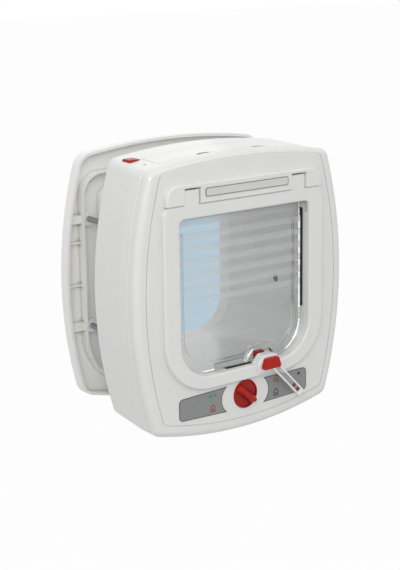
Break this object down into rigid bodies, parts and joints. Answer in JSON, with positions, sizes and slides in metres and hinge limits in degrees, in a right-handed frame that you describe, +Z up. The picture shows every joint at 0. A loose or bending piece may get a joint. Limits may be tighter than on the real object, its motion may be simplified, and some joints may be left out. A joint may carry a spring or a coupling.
{
  "type": "cat flap",
  "caption": "Bowed white cat flap with a deep inner housing, clear flap swinging both ways, rotary lock, passage pointer and an outer frame clamped across a door by long screws.",
  "frame": {"origin": "centre of the door cut-out on the room face of the door, which is the plane of the inner housing's back face", "axes": "+Z up, +Y from the room through the door to the outside, +X to the right seen from the room"},
  "size_m": [0.2296, 0.1369, 0.2484],
  "materials": {
    "white_plastic": "satin",
    "plate_plastic": "satin",
    "label_plastic": "matte",
    "steel": "brushed",
    "magnet": "matte",
    "black_rubber": "matte",
    "dark_plastic": "gloss",
    "coil_wire": "satin",
    "board": "satin",
    "clear_plastic": "gloss",
    "steel_frame": "satin",
    "grey_plastic": "matte",
    "cell_jacket": "gloss",
    "red_plastic": "gloss"
  },
  "bodies": {
    "housing": {"front_bezel": "white_plastic", "rear_housing": "white_plastic", "window_frame": "white_plastic", "nameplate": "plate_plastic", "left_label": "label_plastic", "right_label": "label_plastic", "hinge_rod": "steel", "frame_magnet": "magnet", "draught_strip_left": "black_rubber", "draught_strip_right": "black_rubber", "sensor_window_left": "dark_plastic", "sensor_window_right": "dark_plastic", "antenna_coil": "coil_wire", "circuit_board": "board", "switch_body": "dark_plastic", "led_lens": "clear_plastic", "solenoid": "steel_frame", "battery_tray": "grey_plastic", "cell_low_left": "cell_jacket", "cell_low_right": "cell_jacket", "cell_top_left": "cell_jacket", "cell_top_right": "cell_jacket", "contact_plate": "steel", "contact_spring": "steel", "housing_screws": "steel", "outer_frame": "white_plastic", "clamp_screws": "steel"},
    "flap": {"flap_panel": "clear_plastic", "flap_magnet": "magnet"},
    "lock": {"knob": "red_plastic", "lock_cam": "grey_plastic", "cam_screw": "steel"},
    "indicator": {"indicator_rocker": "red_plastic", "indicator_pointer": "clear_plastic"},
    "latch": {"latch_bar": "red_plastic"},
    "button": {"learn_button": "red_plastic", "switch_plunger": "dark_plastic"},
    "cover": {"battery_cover": "white_plastic"}
  },
  "joints": [
    {"name": "flap_swing", "type": "hinge", "parent": "housing", "child": "flap", "pos_m": [0, -0.058, 0.069], "axis": [1, 0, 0], "range_deg": [-72, 72]},
    {"name": "knob_turn", "type": "hinge", "parent": "housing", "child": "lock", "pos_m": [0, -0.066, -0.0944], "axis": [0, -1, 0], "range_deg": [0, 256]},
    {"name": "indicator_swing", "type": "hinge", "parent": "housing", "child": "indicator", "pos_m": [0.023, -0.07, -0.068], "axis": [0, -1, 0], "range_deg": [0, 25]},
    {"name": "latch_slide", "type": "slide", "parent": "housing", "child": "latch", "axis": [0, 0, 1], "range_m": [0, 0.0045]},
    {"name": "button_press", "type": "slide", "parent": "housing", "child": "button", "axis": [0, 0, -1], "range_m": [0, 0.001], "stiffness_N_per_m": 600},
    {"name": "cover_lift", "type": "slide", "parent": "housing", "child": "cover", "axis": [0, 0, 1], "range_m": [0, 0.06]}
  ]
}
